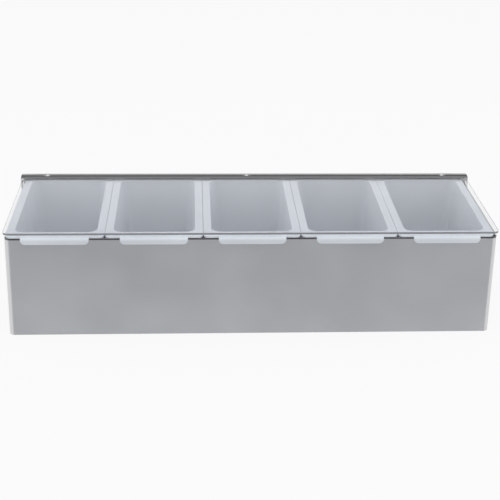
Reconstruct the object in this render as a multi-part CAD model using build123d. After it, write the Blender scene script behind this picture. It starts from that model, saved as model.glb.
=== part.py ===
"""Condiment caddy: a folded stainless tray that holds five lift-out bins under one clear flip lid.

Millimetres. +Z is up, -Y is the front, and the origin is the middle of the tray's underside.
"""

from build123d import *
from math import cos, radians, sin, sqrt
import os

# Tray
body_length = 470.0
body_depth = 152.0
body_height = 102.0
sheet = 0.8  # stainless sheet of the tray
front_bend = 5.0  # outside radius of the two upright front corners
fold_bend = 1.6  # outside radius of a sharp fold
hem_gap = 1.2  # daylight inside a hemmed edge
hem_drop = 8.0  # height of a hem
pan_flange = 10.0  # height of the floor pan's upturned edges
back_flange = 14.0  # how far the back's side flanges come forward
ice_space = 24.0  # from the underside of the tray to the underside of the bins

# Bins
bin_count = 5
rim_thickness = 1.6
bin_wall = 1.6
bin_floor = 1.8
rim_gap = 0.4  # between neighbouring rims
row_play = 2.8  # what the row of rims lacks of the width between the hinge lugs
row_drift = -0.9  # the row lies pushed to the left
rim_front_inset = 0.4  # rim's front edge behind the tray's face
rim_back_inset = 1.4  # rim's back edge in front of the tray's back
rim_corner = 5.0
side_ledge = 7.5  # width of a rim at the sides
end_ledge = 8.0  # width of a rim at the front and back
basin_corner = 8.5  # inside radius between the walls and between walls and floor
draft_angle = 4.0  # degrees
tab_width = 64.0
tab_reach = 4.0  # how far the pull tab stands in front of its rim
tab_bend = 3.0
tab_drop = 6.3  # from the rim's top to the tab's lower edge
tab_corner = 4.5

# Lid
lid_thickness = 2.0
lid_clearance = 2.0  # from the rims' tops to the lid's underside
lid_front_overhang = 0.6
lid_side_overhang = 1.2
lid_back_overhang = 1.2
lid_corner = 5.0

# Hinge
pivot_inset = 6.0  # pivot axis in front of the tray's back
pivot_drop = 4.0  # pivot axis below the tray's top
swing_gap = 0.3  # between the lid and the lugs that it swings over
lug_length = 12.0
lug_ramp = 4.0
lug_bend = 1.0  # radius at the foot and head of the lug's ramp
hem_stop = 20.0  # the side hems end this far in front of the pivot
rail_sheet = 0.9
rail_width = 14.7
rail_crown = 0.9  # rise of the rail's curved top
rail_foot = 0.8  # flat foot along the rail's front edge
rail_fit = 0.1  # between the lid's back edge and the rail's lip
ear_gap = 2.4  # between the tray's side and an ear
ear_radius = 6.0
pin_radius = 2.0
pin_running = 0.05  # radial clearance of the ears on their pins
pin_head_radius = 3.6
pin_head_height = 1.2
pin_end_play = 0.1
clip_radius = 3.5
clip_thickness = 0.6
pin_tail = 0.7  # how far the pin shows past its clip
spacer_radius = 4.2
rivet_inset = 24.0  # an end rivet's distance from the tray's side
rivet_radius = 1.5
rivet_running = 0.05
rivet_head_radius = 2.6
rivet_head_height = 0.9
rivet_washer_radius = 3.8
rivet_washer_thickness = 0.4
dimple_depth = 0.45
dimple_ball = 26.0  # radius of the ball that presses the dimple under a rivet head

# Places that follow from the sizes above
side_x = body_length / 2
back_y = body_depth / 2
front_y = -back_y
hem_width = 2 * sheet + hem_gap
hem_radius = hem_width / 2
inner_x = side_x - sheet
inner_y = back_y - sheet
rim_top = body_height + rim_thickness
lid_bottom = rim_top + lid_clearance
lid_top = lid_bottom + lid_thickness
pivot_y = back_y - pivot_inset
pivot_z = body_height - pivot_drop
lug_radius = lid_bottom - pivot_z - swing_gap
row_width = 2 * inner_x - row_play
bin_pitch = (row_width + rim_gap) / bin_count
rim_width = bin_pitch - rim_gap
rim_front = front_y + rim_front_inset
rim_back = back_y - rim_back_inset
rim_depth = rim_back - rim_front
rim_middle = (rim_back + rim_front) / 2
mouth_width = rim_width - 2 * side_ledge
mouth_depth = rim_depth - 2 * end_ledge
basin_bottom = ice_space
lip_inside = back_y + lid_back_overhang + rail_fit
lip_outside = lip_inside + rail_sheet
rail_front = lip_outside - rail_width
rail_middle = (rail_front + lip_inside) / 2
rail_top = lid_top + rail_sheet + rail_crown
ear_inside = side_x + ear_gap
ear_outside = ear_inside + rail_sheet
washer_bottom = lid_bottom - rivet_washer_thickness
rivet_places = (rivet_inset - side_x, 0.0, side_x - rivet_inset)
standing = (Align.CENTER, Align.CENTER, Align.MIN)


def tray_outline(inset, back_line):
    """Plan of the tray as a face: square at the back, rounded at the front corners."""
    radius = front_bend - inset
    x, y = side_x - inset, front_y + inset
    path = Polyline((x, back_line), (x, y + radius))
    path += RadiusArc((x, y + radius), (x - radius, y), radius)
    path += Line((x - radius, y), (radius - x, y))
    path += RadiusArc((radius - x, y), (-x, y + radius), radius)
    path += Polyline((-x, y + radius), (-x, back_line), (x, back_line))
    return make_face(path)


def hem_section():
    """The turned part of a hem in (distance from the outer face, height), from the wall inwards."""
    low, base = body_height - hem_drop, body_height - hem_radius
    outline = Polyline((0, base), (sheet, base))
    outline += ThreePointArc((sheet, base), (hem_radius, base + hem_gap / 2), (sheet + hem_gap, base))
    outline += Polyline((sheet + hem_gap, base), (sheet + hem_gap, low), (hem_width, low), (hem_width, base))
    outline += ThreePointArc((hem_width, base), (hem_radius, body_height), (0, base))
    return make_face(outline)


def side_lug():
    """One side wall's top behind the hem, with the lug that the closed lid comes down on."""
    hem_end = pivot_y - hem_stop
    head, foot = pivot_y - lug_length, pivot_y - lug_length - lug_ramp
    shoulder = pivot_z + lug_radius
    rear_z = pivot_z + sqrt(lug_radius**2 - pivot_inset**2)
    turn = radians(30)
    outline = Polyline(
        (back_y, rear_z),
        (back_y, body_height - 2 * hem_drop),
        (hem_end, body_height - 2 * hem_drop),
        (hem_end, body_height),
        (foot, body_height),
        (head, shoulder),
        (pivot_y, shoulder),
    )
    outline += ThreePointArc(
        (pivot_y, shoulder),
        (pivot_y + lug_radius * sin(turn), pivot_z + lug_radius * cos(turn)),
        (back_y, rear_z),
    )
    face = make_face(outline)
    ramp_ends = [v for v in face.vertices() if v.X in (foot, head)]
    face = fillet(ramp_ends, lug_bend)
    return extrude(Plane.YZ.offset(inner_x) * face, amount=sheet)


def straight_hem(length):
    """A hem along X on a wall whose outer face is y = 0, its inside towards +Y."""
    plane = Plane(origin=(length / 2, 0, 0), x_dir=(0, 1, 0), z_dir=(1, 0, 0))
    return extrude(plane * hem_section(), amount=-length)


def front_wrap():
    """Front and both sides in one sheet, hemmed between its bends and bored for the pivot pins."""
    wrap = extrude(tray_outline(0, back_y) - tray_outline(sheet, back_y), amount=body_height)
    front_hem = 2 * (side_x - front_bend)
    hem_start, hem_end = front_y + front_bend, pivot_y - hem_stop
    side_hem = hem_end - hem_start
    over_wall = (Align.CENTER, Align.MIN, Align.MIN)
    low = body_height - hem_radius
    top_strip = Box(front_hem, sheet, body_height, align=over_wall)
    side_strip = Box(side_hem, sheet, body_height, align=over_wall)
    side_hem_middle = (hem_start + hem_end) / 2
    left = Pos(-side_x, side_hem_middle, 0) * Rot(0, 0, -90)
    right = Pos(side_x, side_hem_middle, 0) * Rot(0, 0, 90)
    front = Pos(0, front_y, 0)
    raised = Pos(0, 0, low)
    wrap -= [front * raised * top_strip, left * raised * side_strip, right * raised * side_strip]
    wrap += [front * straight_hem(front_hem), left * straight_hem(side_hem), right * straight_hem(side_hem)]
    lug = side_lug()
    wrap += [lug, mirror(lug, Plane.YZ)]
    bore = Pos(0, pivot_y, pivot_z) * Rot(0, 90, 0) * Cylinder(pin_radius, 2 * body_length)
    return wrap - bore


def back_panel():
    """Back sheet between the side walls, hemmed at the top, with side flanges turned forwards."""
    wall_top = body_height - hem_radius
    flange_low, flange_high = pan_flange + fold_bend, pivot_z - 2 * ear_radius
    panel = extrude(Pos(0, back_y - sheet / 2) * Rectangle(2 * inner_x, sheet), amount=wall_top)
    hem_length = 2 * (inner_x - hem_drop)
    panel += Pos(0, back_y, 0) * Rot(0, 0, 180) * straight_hem(hem_length)
    corner = Pos(inner_x, back_y) * Rectangle(fold_bend, fold_bend, align=(Align.MAX, Align.MAX))
    fold = Pos(inner_x, back_y) * Rectangle(back_flange, back_flange, align=(Align.MAX, Align.MAX))
    fold = fillet(fold.vertices().sort_by(Axis((0, 0, 0), (1, 1, 0)))[-1], fold_bend)
    hollow = Pos(inner_x - sheet, back_y - sheet) * Rectangle(
        back_flange, back_flange, align=(Align.MAX, Align.MAX)
    )
    hollow = fillet(hollow.vertices().sort_by(Axis((0, 0, 0), (1, 1, 0)))[-1], fold_bend - sheet)
    span = flange_high - flange_low
    cut = Pos(0, 0, flange_low) * extrude(corner, amount=span)
    flange = Pos(0, 0, flange_low) * extrude(fold - hollow, amount=span)
    panel -= [cut, mirror(cut, Plane.YZ)]
    panel += [flange, mirror(flange, Plane.YZ)]
    return panel


def pan_edge(length):
    """A straight upturned edge of the floor pan along X, its outer face on y = 0."""
    low = fillet(
        Rectangle(2 * fold_bend, pan_flange, align=(Align.MIN, Align.MIN)).vertices().sort_by(Axis.Y)[:2]
        .sort_by(Axis.X)[:1],
        fold_bend,
    )
    gap = Pos(sheet, sheet) * Rectangle(2 * fold_bend, pan_flange, align=(Align.MIN, Align.MIN))
    gap = fillet(gap.vertices().sort_by(Axis.Y)[:2].sort_by(Axis.X)[:1], fold_bend - sheet)
    plane = Plane(origin=(-length / 2, 0, 0), x_dir=(0, 1, 0), z_dir=(1, 0, 0))
    return extrude(plane * (low - gap), amount=length)


def base_pan():
    """Floor sheet with four upturned edges, their ends relieved at the corners."""
    corner = front_bend + fold_bend
    floor = extrude(
        RectangleRounded(2 * (inner_x - fold_bend), 2 * (inner_y - fold_bend), front_bend - sheet),
        amount=sheet,
    )
    long_edge = pan_edge(2 * (inner_x - corner))
    short_edge = pan_edge(2 * (inner_y - corner))
    floor += Pos(0, -inner_y, 0) * long_edge
    floor += Rot(0, 0, 180) * Pos(0, -inner_y, 0) * long_edge
    floor += Rot(0, 0, 90) * Pos(0, -inner_x, 0) * short_edge
    floor += Rot(0, 0, -90) * Pos(0, -inner_x, 0) * short_edge
    return floor


def pull_tab():
    """Tab that rolls forwards and down from the middle of a bin's rim."""
    outside, inside = rim_front - tab_reach, rim_front - tab_reach + rim_thickness
    turn = outside + tab_bend
    low = rim_top - tab_drop
    outline = Polyline((rim_front + end_ledge / 2, rim_top), (turn, rim_top))
    outline += RadiusArc((turn, rim_top), (outside, rim_top - tab_bend), -tab_bend)
    outline += Polyline((outside, rim_top - tab_bend), (outside, low), (inside, low), (inside, rim_top - tab_bend))
    outline += RadiusArc((inside, rim_top - tab_bend), (turn, body_height), tab_bend - rim_thickness)
    outline += Polyline((turn, body_height), (rim_front + end_ledge / 2, body_height))
    outline += Line((rim_front + end_ledge / 2, body_height), (rim_front + end_ledge / 2, rim_top))
    strip = extrude(Plane.YZ.offset(-tab_width / 2) * make_face(outline), amount=tab_width)
    front_view = Pos(0, low) * Rectangle(tab_width, 2 * tab_drop, align=(Align.CENTER, Align.MIN))
    front_view = fillet(front_view.vertices().sort_by(Axis.Y)[:2], tab_corner)
    trim = extrude(Plane.XZ.offset(-back_y) * front_view, amount=2 * body_depth)
    return strip & trim


def drafted_block(width, depth, top, height, corner):
    """Block that hangs below a height, its sides drafted and its upright and bottom edges rounded."""
    block = extrude(Pos(0, rim_middle, top) * Rectangle(width, depth), amount=-height)
    sides = block.faces().filter_by(Axis.Z, reverse=True)
    block = draft(sides, neutral_plane=Plane.XY.offset(top), angle=-draft_angle)
    bottom, uprights = block.edges().group_by(Axis.Z)[:2]
    return fillet(bottom, corner) & fillet(uprights, corner)


def bin_insert():
    """One moulded bin about its own middle in X: rim, drafted basin and pull tab."""
    hollow_depth = rim_top - basin_bottom - bin_floor
    hollow = drafted_block(mouth_width, mouth_depth, rim_top, hollow_depth, basin_corner)
    basin = drafted_block(
        mouth_width + 2 * bin_wall,
        mouth_depth + 2 * bin_wall,
        body_height,
        body_height - basin_bottom,
        basin_corner + bin_wall,
    )
    rim = extrude(
        Pos(0, rim_middle, body_height) * RectangleRounded(rim_width, rim_depth, rim_corner),
        amount=rim_thickness,
    )
    return rim + pull_tab() + basin - hollow


def lid_panel():
    """Clear sheet that closes all the bins, bored for the rail's rivets."""
    width = body_length + 2 * lid_side_overhang
    depth = body_depth + lid_front_overhang + lid_back_overhang
    middle = (lid_back_overhang - lid_front_overhang) / 2
    outline = Pos(0, middle, lid_bottom) * RectangleRounded(width, depth, lid_corner)
    bore = Cylinder(rivet_radius + rivet_running, 4 * lid_thickness)
    holes = [Pos(x, rail_middle, lid_bottom) * bore for x in rivet_places]
    return extrude(outline, amount=lid_thickness) - holes


def rail_top_edge():
    """Upper outline of the rail in (y, z), from its front edge over the crown and down to the lip's foot."""
    half = rail_sheet / 2
    front, back = (rail_front, lid_top + half), (lip_inside - half, lid_top + rail_sheet)
    corner = (lip_outside, lid_top - half)
    shoulder = (lip_outside - half, lid_top + half)
    edge = ThreePointArc(front, (rail_middle, rail_top), back)
    edge += ThreePointArc(back, shoulder, corner)
    return edge + Line(corner, (lip_outside, lid_bottom))


def rail_section():
    """The rail in (y, z): flat foot, crowned top and a lip down behind the lid."""
    heel, crest, foot = (lip_inside, lid_top), (rail_middle, lid_top + rail_crown), (rail_front + rail_foot, lid_top)
    outline = rail_top_edge()
    outline += Polyline((lip_outside, lid_bottom), (lip_inside, lid_bottom), heel)
    outline += ThreePointArc(heel, crest, foot)
    outline += Polyline(foot, (rail_front, lid_top), (rail_front, lid_top + rail_sheet / 2))
    return make_face(outline)


def ear():
    """Right ear of the rail: its folded end, tapering to a round eye on the pivot axis."""
    end = rail_top_edge()
    end += Polyline((lip_outside, lid_bottom), (rail_front, lid_top), (rail_front, lid_top + rail_sheet / 2))
    eye = Pos(pivot_y, pivot_z) * Circle(ear_radius)
    taper = make_hull(eye.edges() + Line((rail_front, lid_top), (lip_outside, lid_bottom)).edges())
    bore = Pos(pivot_y, pivot_z) * Circle(pin_radius + pin_running)
    return extrude(Plane.YZ.offset(ear_inside) * (make_face(end) + taper - bore), amount=rail_sheet)


def hinge_rail():
    """Polished rail along the lid's back, with an ear at each end and a dimple under each rivet."""
    bar = extrude(Plane.YZ.offset(-ear_inside) * rail_section(), amount=2 * ear_inside)
    under = Box(2 * ear_inside, rail_width / 2, rail_crown + rail_sheet / 2, align=standing)
    under = Pos(0, rail_middle, lid_top) * under
    ball_z = rail_top - dimple_depth + dimple_ball
    balls = [Pos(x, rail_middle, ball_z) * Sphere(dimple_ball) for x in rivet_places]
    skins = [Pos(x, rail_middle, ball_z) * Sphere(dimple_ball + rail_sheet) & under for x in rivet_places]
    shank = Cylinder(rivet_radius + rivet_running, 4 * lid_thickness)
    holes = [Pos(x, rail_middle, lid_top) * shank for x in rivet_places]
    bar = bar + skins - balls - holes
    right = ear()
    return bar + [right, mirror(right, Plane.YZ)]


def pan_head(radius, height):
    """Low rivet head standing on z = 0, with a sloped crown."""
    return Cone(radius, radius - height, height, align=standing)


def rail_rivet(x):
    """One rivet through rail, lid and washer, the rim of its head seated in the rail's dimple."""
    dimple_rise = dimple_ball - sqrt(dimple_ball**2 - rivet_head_radius**2)
    seat = rail_top - dimple_depth + dimple_rise
    shank = Pos(x, rail_middle, washer_bottom) * Cylinder(rivet_radius, seat - washer_bottom, align=standing)
    return shank + Pos(x, rail_middle, seat) * pan_head(rivet_head_radius, rivet_head_height)


def rivet_washer(x, rivet):
    """Flat washer under the lid, pressed on the rivet's tail."""
    ring = Cylinder(rivet_washer_radius, rivet_washer_thickness, align=standing)
    return Pos(x, rail_middle, washer_bottom) * ring - rivet


def along_x(x, solid):
    """Stand a solid made along +Z on the right-hand pivot axis, starting at x."""
    return Pos(x, pivot_y, pivot_z) * Rot(0, 90, 0) * solid


def pivot_pin():
    """Right pin: head outside the ear, shank through ear, spacer and wall, and a chamfered tail."""
    head_x = ear_outside + pin_end_play
    tail_x = inner_x - clip_thickness - pin_tail
    shank = Cylinder(pin_radius, head_x - tail_x, align=standing)
    shank = chamfer(shank.edges().sort_by(Axis.Z)[0], pin_tail / 2)
    head = Pos(0, 0, head_x - tail_x) * pan_head(pin_head_radius, pin_head_height)
    return along_x(tail_x, shank + head)


def pivot_spacer():
    """Right spacer ring between the tray's side and the ear."""
    ring = Cylinder(spacer_radius, ear_gap - pin_end_play, align=standing)
    return along_x(side_x, ring - Cylinder(pin_radius + pin_running, 4 * ear_gap))


def pivot_clip():
    """Right push-on ring that holds the pin on the inside of the wall."""
    ring = Cylinder(clip_radius, clip_thickness, align=standing) - Cylinder(pin_radius, 4 * clip_thickness)
    return along_x(inner_x - clip_thickness, ring)


def add_pair(nodes, name, right):
    nodes[f"{name}_right"] = right
    nodes[f"{name}_left"] = mirror(right, Plane.YZ)


def build_nodes():
    """Every piece in its place, by the name of its node."""
    nodes = {"front_wrap": front_wrap(), "back_panel": back_panel(), "base_pan": base_pan()}
    insert = bin_insert()
    for number in range(bin_count):
        x = row_drift + (number - (bin_count - 1) / 2) * bin_pitch
        nodes[f"insert_{number + 1}"] = Pos(x, 0, 0) * insert
    rivets = [rail_rivet(x) for x in rivet_places]
    washers = [rivet_washer(x, rivet) for x, rivet in zip(rivet_places, rivets)]
    nodes["lid_panel"] = lid_panel()
    nodes["hinge_rail"] = hinge_rail()
    nodes["rail_rivets"] = Compound(rivets)
    nodes["rivet_washers"] = Compound(washers)
    add_pair(nodes, "pivot_pin", pivot_pin())
    add_pair(nodes, "pivot_spacer", pivot_spacer())
    add_pair(nodes, "pivot_clip", pivot_clip())
    return nodes


os.makedirs("parts", exist_ok=True)
for name, piece in build_nodes().items():
    export_step(piece, f"parts/{name}.step")
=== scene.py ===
"""Looks for the condiment caddy: finishes, softened edges, studio and camera. Metres."""

from math import cos, radians, sin

import bpy
from mathutils import Matrix, Vector

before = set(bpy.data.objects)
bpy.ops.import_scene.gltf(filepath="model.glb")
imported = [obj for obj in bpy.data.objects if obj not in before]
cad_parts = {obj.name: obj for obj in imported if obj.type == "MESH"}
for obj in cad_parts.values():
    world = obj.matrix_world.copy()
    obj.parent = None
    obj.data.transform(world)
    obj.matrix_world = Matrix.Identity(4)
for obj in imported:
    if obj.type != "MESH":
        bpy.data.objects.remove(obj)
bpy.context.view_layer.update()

mm = 0.001

# Camera, fitted to the photograph's 500 x 500 frame
FRAME_PIXELS = 500
SENSOR_MM = 36
FOCAL_PIXELS = 1117.6
CENTRE_ROW = 150  # the row that the lens axis meets, for the photograph's raised framing
CAMERA_PLACE = Vector((-59.2, -1042.9, 542.8)) * mm
CAMERA_YAW, CAMERA_PITCH, CAMERA_ROLL = radians(3.215), radians(19.975), radians(1.1)

# Where the front's top edge folds over, and how far its painted shade takes to come in
FRONT_FOLD_Z, FOLD_BLEND_Z = 100.2 * mm, 0.4 * mm
FRONT_FOLD_Y, FOLD_BLEND_Y = -73.5 * mm, 1.0 * mm

# The largest part of a sheet's normal, on its flats and round its bends
FLAT_NORMAL, BENT_NORMAL = 0.999, 0.97

# The upright part of the lid's normal, on its sawn edges and on its faces
EDGE_AND_FACE = (0.4, 0.9)

# A noise texture's usual lowest and highest values
NOISE_SPAN = (0.3, 0.7)

# Noise stretched by these in X, Y and Z: as it is, or drawn out into scratches, wipes and mould flow
EVEN = (1, 1, 1)
WALL_SCRATCHES = (0.02, 0.02, 1)
PAN_SCRATCHES = (0.02, 1, 1)
RAIL_WIPES = (0.15, 1, 1)
MOULD_FLOW = (1, 1, 0.4)

# Softened edges: the sharpest angle left alone, and how close the CAD's corners are joined
SHARP_ANGLE = radians(40)
JOIN_DISTANCE = 0.001 * mm

# Colours; a pair is the darker and the lighter of a finish that varies
BRUSHED_STEEL = ((0.575, 0.585, 0.615), (0.60, 0.61, 0.64))
# Bends: a lighter colour, a painted highlight
BEND_HIGHLIGHT_STEEL = (0.68, 0.68, 0.69)
# The front's top fold: a dark colour, painted shade under the insert rims
SHADED_STEEL = (0.18, 0.18, 0.185)
RAIL_STEEL = (0.57, 0.57, 0.585)
RIVET_STEEL = (0.86, 0.86, 0.87)
POLYPROPYLENE = ((0.71, 0.75, 0.81), (0.77, 0.81, 0.87))
# The lid's sawn edges: a dark grey that is painted shade on their duller, less clear finish; its faces: the
# sheet's clear tint
SHADED_ACRYLIC_EDGE, ACRYLIC_FACE = (0.36, 0.37, 0.40), (0.95, 0.955, 0.965)
ACRYLIC_SHADOW = (0.94, 0.945, 0.955, 1)
NYLON = (0.80, 0.80, 0.77, 1)
PAPER = (0.6, 0.6, 0.6, 1)
WHITE = (1, 1, 1, 1)
BLACK = (0, 0, 0, 1)

PLASTIC_IOR = 1.49

# White paper under the object: its size, and how much of what the eye sees there is plain white
FLOOR_SIZE = 12
FLOOR_GLOW = 0.9

# The room's brightness as a source of light, where 1 is the white that the eye sees
ROOM_LIGHT = 0.68

# Soft boxes: name, place, target, width and height, watts
SOFT_BOXES = (
    ("top_box", (0, -0.1, 1.4), (0, 0, 0), (1.6, 1.0), 5),
    ("left_box", (-1.3, -0.3, 0.5), (0, 0, 0.1), (1.6, 1.0), 7),
    ("right_box", (1.3, -0.3, 0.5), (0, 0, 0.1), (1.6, 1.0), 7),
)

# Cards that show only in reflections and through clear material: name, middle, width and height,
# grey, turn in degrees
UPRIGHT, SIDEWAYS, FLAT = (90, 0, 0), (90, 0, 90), (0, 0, 0)
ROOM_CARDS = (
    ("room_card", (0, -2.2, 1.85), (3.0, 3.5), 0.1, UPRIGHT),
    ("floor_card", (0, -1.35, 0.002), (3.0, 1.7), 0.45, FLAT),
    ("left_card", (-2.4, 0, 1.4), (5.0, 1.9), 0.3, SIDEWAYS),
    ("right_card", (2.4, 0, 1.4), (5.0, 1.9), 0.3, SIDEWAYS),
)

# Those behind the object, which the lid and the rail mirror: name, lower and upper edge, grey at each
BACK_CARD_Y, BACK_CARD_WIDTH = 2.0, 5.0
BACK_CARDS = (
    ("low", 0.52, 0.82, 0.14, 0.14),
    ("mid", 0.82, 1.12, 1.0, 0.55),
    ("high", 1.12, 2.3, 0.15, 0.15),
    ("top", 2.3, 4.4, 0.35, 0.35),
)

INSERTS = sorted(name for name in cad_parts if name.startswith("insert_"))


# ---- Node helpers ----


class Tree:
    """The node tree of a material or world, with short calls to add and join nodes."""

    def __init__(self, owner):
        owner.use_nodes = True
        self.owner = owner
        self.nodes = owner.node_tree.nodes

    def add(self, kind, **settings):
        node = self.nodes.new(kind)
        for key, value in settings.items():
            setattr(node, key, value)
        return node

    def join(self, source, target):
        self.owner.node_tree.links.new(source, target)

    def coordinates(self, scale):
        """The object's own coordinates, stretched by scale in each direction."""
        mapping = self.add("ShaderNodeMapping")
        mapping.inputs["Scale"].default_value = scale
        self.join(self.add("ShaderNodeTexCoord").outputs["Object"], mapping.inputs["Vector"])
        return mapping.outputs["Vector"]

    def parts(self, output):
        """The X, Y and Z of one of the object's own coordinates."""
        split = self.add("ShaderNodeSeparateXYZ")
        self.join(self.add("ShaderNodeTexCoord").outputs[output], split.inputs["Vector"])
        return split.outputs

    def noise(self, stretch, scale, detail, roughness=0.5):
        """Noise of scale spots to the metre, before it is stretched."""
        node = self.add("ShaderNodeTexNoise")
        node.inputs["Scale"].default_value = scale
        node.inputs["Detail"].default_value = detail
        node.inputs["Roughness"].default_value = roughness
        self.join(self.coordinates(stretch), node.inputs["Vector"])
        return node.outputs["Fac"]

    def math(self, operation, *values):
        node = self.add("ShaderNodeMath", operation=operation)
        for value, socket in zip(values, node.inputs):
            self.join(value, socket)
        return node.outputs["Value"]

    def most(self, values):
        """The largest of several values."""
        largest = values[0]
        for value in values[1:]:
            largest = self.math("MAXIMUM", largest, value)
        return largest

    def seen(self):
        """1 for what the camera, a reflection or clear material sees, and 0 for light on its way."""
        rays = self.add("ShaderNodeLightPath").outputs
        return self.most([rays["Is Camera Ray"], rays["Is Glossy Ray"], rays["Is Transmission Ray"]])

    def spread(self, value, start, end):
        """0 where value is at start, 1 where it is at end, and no more or less beyond them."""
        node = self.add("ShaderNodeMapRange")
        node.inputs["From Min"].default_value = start
        node.inputs["From Max"].default_value = end
        self.join(value, node.inputs["Value"])
        return node.outputs["Result"]

    def mix(self, factor, first, second):
        """A number or colour that turns from first to second with factor; either may be a socket."""
        colour = any(isinstance(value, tuple) for value in (first, second))
        node = self.add("ShaderNodeMix", data_type="RGBA" if colour else "FLOAT")
        sockets = [socket for socket in node.inputs if socket.enabled]
        self.join(factor, sockets[0])
        for value, socket in zip((first, second), sockets[1:]):
            if isinstance(value, bpy.types.NodeSocket):
                self.join(value, socket)
            else:
                socket.default_value = (*value, 1) if colour else value
        return next(socket for socket in node.outputs if socket.enabled)

    def ramp(self, value, low, high, stops=NOISE_SPAN):
        """A number or colour that runs from low to high as value passes between the stops."""
        return self.mix(self.spread(value, *stops), low, high)

    def mix_shaders(self, factor, first, second):
        """first where factor is 0 and second where it is 1; factor may be a socket."""
        node = self.add("ShaderNodeMixShader")
        if isinstance(factor, bpy.types.NodeSocket):
            self.join(factor, node.inputs["Fac"])
        else:
            node.inputs["Fac"].default_value = factor
        self.join(first, node.inputs[1])
        self.join(second, node.inputs[2])
        return node.outputs["Shader"]


class Finish(Tree):
    """A material's node tree round one Principled shader."""

    def __init__(self, name):
        self.material = bpy.data.materials.new(name)
        super().__init__(self.material)
        self.shader = self.nodes["Principled BSDF"]
        self.output = self.nodes["Material Output"]

    def set(self, **values):
        """Values on the shader's own sockets, named with _ for a space."""
        for key, value in values.items():
            self.shader.inputs[key.replace("_", " ")].default_value = value

    def vary(self, **sources):
        """What feeds the shader's sockets, named with _ for a space."""
        for key, source in sources.items():
            self.join(source, self.shader.inputs[key.replace("_", " ")])

    def bump(self, height, strength, distance):
        node = self.add("ShaderNodeBump")
        node.inputs["Strength"].default_value = strength
        node.inputs["Distance"].default_value = distance
        self.join(height, node.inputs["Height"])
        self.vary(Normal=node.outputs["Normal"])

    def show(self, surface):
        """Put out surface instead of the shader alone."""
        self.join(surface, self.output.inputs["Surface"])


# ---- Materials ----


def brushed_steel(name, grain):
    """Satin stainless, its fine scratches stretched by grain, its bends smoother and given a painted
    highlight in a lighter colour, and the front's top fold given painted shade.
    """
    tree = Finish(name)
    scratches = tree.noise(grain, scale=3200, detail=3, roughness=0.6)
    clouds = tree.noise(EVEN, scale=14, detail=3)
    normal = tree.parts("Normal")
    largest = tree.most([tree.math("ABSOLUTE", normal[axis]) for axis in "XYZ"])
    bent = tree.spread(largest, FLAT_NORMAL, BENT_NORMAL)
    place = tree.parts("Object")
    near_top = tree.spread(place["Z"], FRONT_FOLD_Z, FRONT_FOLD_Z + FOLD_BLEND_Z)
    at_front = tree.spread(place["Y"], FRONT_FOLD_Y, FRONT_FOLD_Y - FOLD_BLEND_Y)
    # Painted shade along the front's top fold, under the insert rims
    painted_fold_shade = tree.math("MULTIPLY", near_top, at_front)
    # The bends' lighter colour is a painted highlight
    bright = tree.mix(bent, tree.ramp(scratches, *BRUSHED_STEEL), BEND_HIGHLIGHT_STEEL)
    satin = tree.ramp(clouds, 0.44, 0.50, stops=(0.35, 0.65))
    tree.vary(
        Base_Color=tree.mix(painted_fold_shade, bright, SHADED_STEEL),
        Roughness=tree.mix(bent, satin, 0.3),
        Tangent=tree.add("ShaderNodeTangent", direction_type="RADIAL", axis="Z").outputs["Tangent"],
    )
    tree.bump(scratches, strength=0.04, distance=0.01 * mm)
    tree.set(Metallic=1.0, Anisotropic=0.8, Anisotropic_Rotation=0.25)
    return tree.material


def polished_steel(name, colour, smooth, rough):
    """Bright stainless with faint wipe marks, its roughness between smooth and rough."""
    tree = Finish(name)
    wipes = tree.noise(RAIL_WIPES, scale=160, detail=4)
    tree.vary(Roughness=tree.ramp(wipes, smooth, rough))
    tree.set(Metallic=1.0, Base_Color=(*colour, 1))
    return tree.material


def frosted_polypropylene():
    """Milky moulded plastic with a fine sandblasted skin."""
    tree = Finish("frosted_polypropylene")
    skin = tree.noise(EVEN, scale=1800, detail=2)
    flow = tree.noise(MOULD_FLOW, scale=22, detail=2)
    tree.vary(
        Base_Color=tree.ramp(flow, *POLYPROPYLENE),
        Roughness=tree.ramp(skin, 0.34, 0.46),
    )
    tree.bump(skin, strength=0.1, distance=0.03 * mm)
    tree.set(Transmission_Weight=0.1, IOR=PLASTIC_IOR)
    return tree.material


def clear_acrylic():
    """Clear sheet with satin sawn edges, their dark grey painted shade, which lets the lamps through to
    what is under it.
    """
    tree = Finish("clear_acrylic")
    upright = tree.math("ABSOLUTE", tree.parts("Normal")["Z"])
    wipes = tree.noise(EVEN, scale=45, detail=4)
    tree.vary(
        # The sawn edges' dark grey is painted shade; their lower transmission is the real sawn finish
        Base_Color=tree.ramp(upright, SHADED_ACRYLIC_EDGE, ACRYLIC_FACE, stops=EDGE_AND_FACE),
        Transmission_Weight=tree.ramp(upright, 0.3, 1.0, stops=EDGE_AND_FACE),
        Roughness=tree.ramp(wipes, 0.01, 0.035, stops=(0.4, 0.7)),
    )
    tree.set(IOR=PLASTIC_IOR)
    clear = tree.add("ShaderNodeBsdfTransparent")
    clear.inputs["Color"].default_value = ACRYLIC_SHADOW
    shadow = tree.add("ShaderNodeLightPath").outputs["Is Shadow Ray"]
    tree.show(tree.mix_shaders(shadow, tree.shader.outputs["BSDF"], clear.outputs["BSDF"]))
    return tree.material


def white_nylon():
    """Slightly warm turned plastic."""
    tree = Finish("white_nylon")
    skin = tree.noise(EVEN, scale=900, detail=2)
    tree.vary(Roughness=tree.ramp(skin, 0.42, 0.55))
    tree.set(Base_Color=NYLON, Subsurface_Weight=0.1)
    return tree.material


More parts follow.
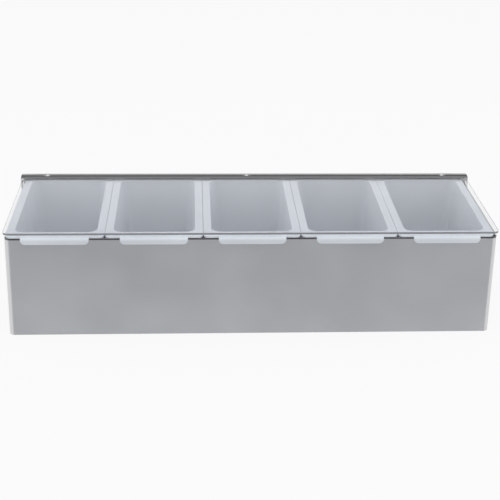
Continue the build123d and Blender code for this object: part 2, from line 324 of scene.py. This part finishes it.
def dress(node, material, edge=0.0, segments=2):
    """Give a CAD node its finish and, with edge, soften its corners by that radius."""
    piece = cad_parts[node]
    piece.data.materials.clear()
    piece.data.materials.append(material)
    if edge:
        weld = piece.modifiers.new("join_faces", "WELD")
        weld.merge_threshold = JOIN_DISTANCE
        bevel = piece.modifiers.new("soft_edges", "BEVEL")
        bevel.width, bevel.segments = edge, segments
        bevel.limit_method, bevel.angle_limit = "ANGLE", SHARP_ANGLE
        shading = piece.modifiers.new("flat_faces", "WEIGHTED_NORMAL")
        shading.keep_sharp = False


def dress_all():
    """Give every piece its finish and its edges."""
    walls = brushed_steel("brushed_steel_walls", WALL_SCRATCHES)
    pan = brushed_steel("brushed_steel_pan", PAN_SCRATCHES)
    bright = polished_steel("polished_steel", RAIL_STEEL, smooth=0.07, rough=0.13)
    rivet = polished_steel("rivet_steel", RIVET_STEEL, smooth=0.22, rough=0.30)
    plastic, clear, nylon = frosted_polypropylene(), clear_acrylic(), white_nylon()
    dress("front_wrap", walls)
    dress("back_panel", walls)
    dress("base_pan", pan)
    for name in INSERTS:
        dress(name, plastic, edge=0.7 * mm, segments=3)
    dress("lid_panel", clear, edge=0.2 * mm)
    dress("hinge_rail", bright, edge=0.15 * mm)
    for name in ("rail_rivets", "rivet_washers"):
        dress(name, rivet, edge=0.1 * mm)
    for side in ("left", "right"):
        dress(f"pivot_pin_{side}", bright, edge=0.2 * mm)
        dress(f"pivot_clip_{side}", bright)
        dress(f"pivot_spacer_{side}", nylon, edge=0.2 * mm)


# ---- Studio ----


def floor_material():
    """White paper: white to the eye and in reflections, with the object's shadow left on it."""
    tree = Finish("studio_floor")
    tree.set(Base_Color=PAPER, Roughness=0.9)
    paper = tree.shader.outputs["BSDF"]
    glow = tree.add("ShaderNodeEmission").outputs["Emission"]
    tree.show(tree.mix_shaders(tree.seen(), paper, tree.mix_shaders(FLOOR_GLOW, paper, glow)))
    return tree.material


def studio_floor():
    bpy.ops.mesh.primitive_plane_add(size=FLOOR_SIZE)
    floor = bpy.context.object
    floor.name = "studio_floor"
    floor.data.materials.append(floor_material())


def studio_world():
    """An even white room, dimmer as a source of light than it is to the eye."""
    world = bpy.data.worlds.new("studio_world")
    bpy.context.scene.world = world
    tree = Tree(world)
    background = tree.nodes["Background"]
    background.inputs["Color"].default_value = WHITE
    tree.join(tree.mix(tree.seen(), ROOM_LIGHT, 1.0), background.inputs["Strength"])


def card(name, middle, size, bottom_grey, top_grey, turn):
    """A card that shows only in reflections and through clear material, its grey even or graded upwards."""
    turn = [radians(angle) for angle in turn]
    bpy.ops.mesh.primitive_plane_add(size=1, location=middle, rotation=turn)
    board = bpy.context.object
    board.name = name
    board.scale = (*size, 1)
    tree = Finish(name)
    tree.set(Base_Color=BLACK, Specular_IOR_Level=0, Emission_Color=WHITE)
    if bottom_grey == top_grey:
        tree.set(Emission_Strength=bottom_grey)
    else:
        height = tree.parts("Generated")["Y"]
        tree.vary(Emission_Strength=tree.ramp(height, bottom_grey, top_grey, stops=(0, 1)))
    board.data.materials.append(tree.material)
    board.visible_camera = board.visible_diffuse = board.visible_shadow = False


def lamp(name, place, target, size, watts):
    """A rectangular soft box at place that faces target and shows in no reflection."""
    light = bpy.data.lights.new(name, "AREA")
    light.shape = "RECTANGLE"
    light.size, light.size_y = size
    light.energy = watts
    box = bpy.data.objects.new(name, light)
    box.location = place
    box.rotation_euler = (Vector(target) - Vector(place)).to_track_quat("-Z", "Y").to_euler()
    box.visible_glossy = False
    bpy.context.scene.collection.objects.link(box)


def studio_lamps():
    """The soft boxes, and the cards that stand for the rest of the room."""
    for soft_box in SOFT_BOXES:
        lamp(*soft_box)
    for name, middle, size, grey, turn in ROOM_CARDS:
        card(name, middle, size, grey, grey, turn)
    for name, bottom, top, bottom_grey, top_grey in BACK_CARDS:
        middle = (0, BACK_CARD_Y, (bottom + top) / 2)
        card(f"back_card_{name}", middle, (BACK_CARD_WIDTH, top - bottom), bottom_grey, top_grey, UPRIGHT)


def camera():
    """The photograph's viewpoint, the object raised in its frame by a lens shift."""
    forward = Vector((
        sin(CAMERA_YAW) * cos(CAMERA_PITCH),
        cos(CAMERA_YAW) * cos(CAMERA_PITCH),
        -sin(CAMERA_PITCH),
    ))
    level = Vector((cos(CAMERA_YAW), -sin(CAMERA_YAW), 0))
    upright = level.cross(forward)
    right = cos(CAMERA_ROLL) * level + sin(CAMERA_ROLL) * upright
    up = cos(CAMERA_ROLL) * upright - sin(CAMERA_ROLL) * level
    data = bpy.data.cameras.new("photo_camera")
    data.sensor_width = SENSOR_MM
    data.lens = FOCAL_PIXELS / FRAME_PIXELS * SENSOR_MM
    data.shift_y = CENTRE_ROW / FRAME_PIXELS - 0.5
    view = bpy.data.objects.new("photo_camera", data)
    axes = Matrix((right, up, -forward)).transposed()
    view.matrix_world = Matrix.Translation(CAMERA_PLACE) @ axes.to_4x4()
    bpy.context.scene.collection.objects.link(view)
    bpy.context.scene.camera = view


dress_all()
studio_floor()
studio_world()
studio_lamps()
camera()
bpy.context.scene.view_settings.view_transform = "Standard"
